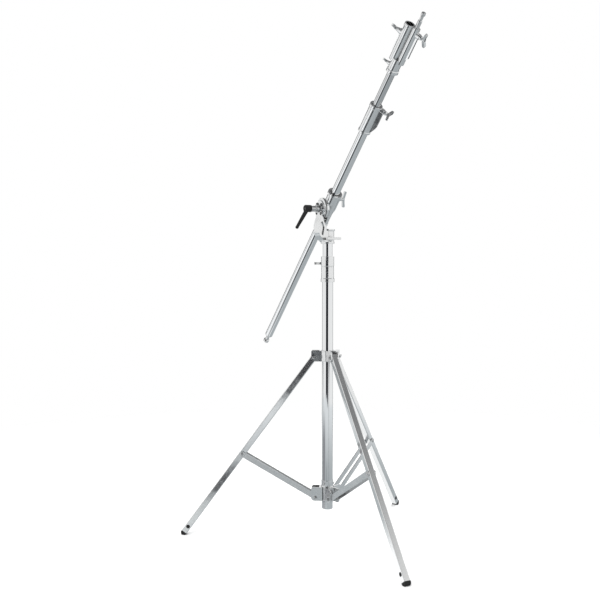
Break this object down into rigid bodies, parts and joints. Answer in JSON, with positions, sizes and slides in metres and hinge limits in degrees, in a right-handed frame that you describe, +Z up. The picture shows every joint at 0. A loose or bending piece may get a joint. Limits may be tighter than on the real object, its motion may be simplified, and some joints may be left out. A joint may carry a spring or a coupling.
{
  "type": "combi boom stand",
  "caption": "Tripod stand with a telescoping column, a swivel head, and a telescoping tilting boom that ends in a twin receiver with a spigot.",
  "frame": {"origin": "centre of the lower end face of the column, 122 mm above the floor", "axes": "+Z up the column; +X level, the way the boom leans and the front leg points; +Y completes the right-handed set"},
  "size_m": [1.3222, 1.0716, 1.9768],
  "materials": {
    "tube_chrome": "polished chrome plate on round steel tube",
    "leg_chrome": "bright chrome plate on square steel tube",
    "brace_chrome": "bright chrome plate on flat steel bar",
    "cast_alloy": "polished and lacquered aluminium castings",
    "knob_alloy": "polished aluminium T handles on steel screws",
    "spigot_steel": "turned and plated steel",
    "bright_steel": "zinc plated fasteners",
    "black_steel": "blackened socket screws",
    "black_plastic": "fine grained moulded plastic",
    "bush_plastic": "smooth bearing plastic",
    "friction_lining": "hard friction lining"
  },
  "bodies": {
    "base": {"column_end_plug": "black_plastic", "base_tube": "tube_chrome", "brace_collar": "cast_alloy", "brace_collar_screws": "bright_steel", "brace_pivot_bolts": "bright_steel", "brace_spacers": "bright_steel", "base_clamp_collar": "cast_alloy", "base_clamp_bush": "bush_plastic"},
    "base_clamp_knob": {"base_clamp_knob": "knob_alloy"},
    "leg_collar": {"leg_collar": "cast_alloy", "leg_collar_bush": "bush_plastic", "leg_pivot_bolts": "bright_steel"},
    "leg_collar_knob": {"leg_collar_knob": "knob_alloy"},
    "leg_front": {"leg_front": "leg_chrome", "leg_sleeve_front": "bright_steel", "foot_plug_front": "black_plastic"},
    "brace_front": {"brace_front": "brace_chrome", "brace_rivets_front": "bright_steel"},
    "leg_rear": {"leg_rear": "leg_chrome", "leg_sleeve_rear": "bright_steel", "foot_plug_rear": "black_plastic"},
    "brace_rear": {"brace_rear": "brace_chrome", "brace_rivets_rear": "bright_steel"},
    "leg_left": {"leg_left": "leg_chrome", "leg_sleeve_left": "bright_steel", "foot_plug_left": "black_plastic"},
    "brace_left": {"brace_left": "brace_chrome", "brace_rivets_left": "bright_steel"},
    "riser": {"riser_tube": "tube_chrome", "riser_guide": "bush_plastic"},
    "head": {"head_bracket": "cast_alloy", "friction_disc": "friction_lining", "friction_screws": "black_steel"},
    "head_knob": {"head_knob": "knob_alloy"},
    "sleeve": {"boom_sleeve": "cast_alloy", "sleeve_bush": "bush_plastic", "tilt_stud": "bright_steel"},
    "sleeve_knob": {"sleeve_knob": "knob_alloy"},
    "lever_insert": {"lever_insert": "bright_steel", "lever_screw": "bright_steel"},
    "lever": {"tilt_lever": "black_plastic"},
    "boom": {"boom_outer_tube": "tube_chrome", "boom_end_stud": "spigot_steel", "boom_joint_collar": "cast_alloy", "boom_joint_bush": "bush_plastic"},
    "boom_joint_knob": {"boom_joint_knob": "knob_alloy"},
    "boom_inner": {"boom_inner_tube": "tube_chrome", "boom_inner_guide": "bush_plastic"},
    "tip": {"twin_receiver": "cast_alloy"},
    "roll_knob": {"roll_knob": "knob_alloy"},
    "open_receiver_knob": {"open_receiver_knob": "knob_alloy"},
    "spigot_knob": {"spigot_knob": "knob_alloy"},
    "spigot": {"spigot": "spigot_steel"}
  },
  "joints": [
    {"name": "collar_slide", "type": "slide", "parent": "base", "child": "leg_collar", "axis": [0, 0, 1], "range_m": [0, 0.2742]},
    {"name": "leg_front_hinge", "type": "hinge", "parent": "leg_collar", "child": "leg_front", "pos_m": [0.0553, 0, 0.627], "axis": [0, 1, 0], "range_deg": [0, 35.5]},
    {"name": "brace_front_hinge", "type": "hinge", "parent": "base", "child": "brace_front", "pos_m": [0.048, 0, 0.05], "axis": [0, 1, 0], "range_deg": [-57.78, 0]},
    {"name": "leg_rear_hinge", "type": "hinge", "parent": "leg_collar", "child": "leg_rear", "pos_m": [-0.02765, 0.04789, 0.627], "axis": [-0.866, -0.5, 0], "range_deg": [0, 35.5]},
    {"name": "brace_rear_hinge", "type": "hinge", "parent": "base", "child": "brace_rear", "pos_m": [-0.024, 0.04157, 0.05], "axis": [-0.866, -0.5, 0], "range_deg": [-57.78, 0]},
    {"name": "leg_left_hinge", "type": "hinge", "parent": "leg_collar", "child": "leg_left", "pos_m": [-0.02765, -0.04789, 0.627], "axis": [0.866, -0.5, 0], "range_deg": [0, 35.5]},
    {"name": "brace_left_hinge", "type": "hinge", "parent": "base", "child": "brace_left", "pos_m": [-0.024, -0.04157, 0.05], "axis": [0.866, -0.5, 0], "range_deg": [-57.78, 0]},
    {"name": "riser_slide", "type": "slide", "parent": "base", "child": "riser", "axis": [0, 0, 1], "range_m": [-0.05, 0.8]},
    {"name": "head_turn", "type": "hinge", "parent": "riser", "child": "head", "pos_m": [0, 0, 1.12], "axis": [0, 0, 1], "continuous": true},
    {"name": "boom_tilt", "type": "hinge", "parent": "head", "child": "sleeve", "pos_m": [0, 0, 1.233], "axis": [0, -1, 0], "range_deg": [-80, 12]},
    {"name": "boom_slide", "type": "slide", "parent": "sleeve", "child": "boom", "axis": [0.7314, 0, 0.682], "range_m": [-0.3, 0.7]},
    {"name": "inner_slide", "type": "slide", "parent": "boom", "child": "boom_inner", "axis": [0.7314, 0, 0.682], "range_m": [-0.13, 0.7]},
    {"name": "head_roll", "type": "hinge", "parent": "boom_inner", "child": "tip", "pos_m": [0.50463, 0, 1.70358], "axis": [0.7314, 0, 0.682], "continuous": true},
    {"name": "spigot_lift", "type": "slide", "parent": "tip", "child": "spigot", "axis": [0.7314, 0, 0.682], "range_m": [0, 0.08]},
    {"name": "lever_turn", "type": "hinge", "parent": "head", "child": "lever_insert", "pos_m": [0, 0, 1.233], "axis": [0, 1, 0], "range_deg": [-90, 90]},
    {"name": "lever_lift", "type": "slide", "parent": "lever_insert", "child": "lever", "axis": [0, -1, 0], "range_m": [0, 0.004]},
    {"name": "base_clamp_knob_turn", "type": "hinge", "parent": "base", "child": "base_clamp_knob", "pos_m": [-0.031, 0, 1.012], "axis": [-1, 0, 0], "continuous": true},
    {"name": "leg_collar_knob_turn", "type": "hinge", "parent": "leg_collar", "child": "leg_collar_knob", "pos_m": [0.0175, 0.03031, 0.633], "axis": [0.5, 0.866, 0], "continuous": true},
    {"name": "head_knob_turn", "type": "hinge", "parent": "head", "child": "head_knob", "pos_m": [0.03, 0, 1.112], "axis": [1, 0, 0], "continuous": true},
    {"name": "sleeve_knob_turn", "type": "hinge", "parent": "sleeve", "child": "sleeve_knob", "pos_m": [0.04169, 0.031, 1.27187], "axis": [0, 1, 0], "continuous": true},
    {"name": "boom_joint_knob_turn", "type": "hinge", "parent": "boom", "child": "boom_joint_knob", "pos_m": [0.39472, 0.02758, 1.56338], "axis": [0.4822, 0.7071, -0.5171], "continuous": true},
    {"name": "roll_knob_turn", "type": "hinge", "parent": "tip", "child": "roll_knob", "pos_m": [0.49342, -0.01377, 1.72], "axis": [-0.5587, -0.5736, 0.5991], "continuous": true},
    {"name": "open_receiver_knob_turn", "type": "hinge", "parent": "tip", "child": "open_receiver_knob", "pos_m": [0.57556, -0.0218, 1.81228], "axis": [-0.5587, -0.5736, 0.5991], "continuous": true},
    {"name": "spigot_knob_turn", "type": "hinge", "parent": "tip", "child": "spigot_knob", "pos_m": [0.63264, 0.0218, 1.78039], "axis": [0.5587, 0.5736, -0.5991], "continuous": true}
  ],
  "couplings": [
    {"joint": "leg_front_hinge", "follows": "collar_slide", "rad_per_m": 2.2533},
    {"joint": "brace_front_hinge", "follows": "collar_slide", "rad_per_m": -3.6712},
    {"joint": "leg_rear_hinge", "follows": "collar_slide", "rad_per_m": 2.2533},
    {"joint": "brace_rear_hinge", "follows": "collar_slide", "rad_per_m": -3.6712},
    {"joint": "leg_left_hinge", "follows": "collar_slide", "rad_per_m": 2.2533},
    {"joint": "brace_left_hinge", "follows": "collar_slide", "rad_per_m": -3.6712}
  ]
}
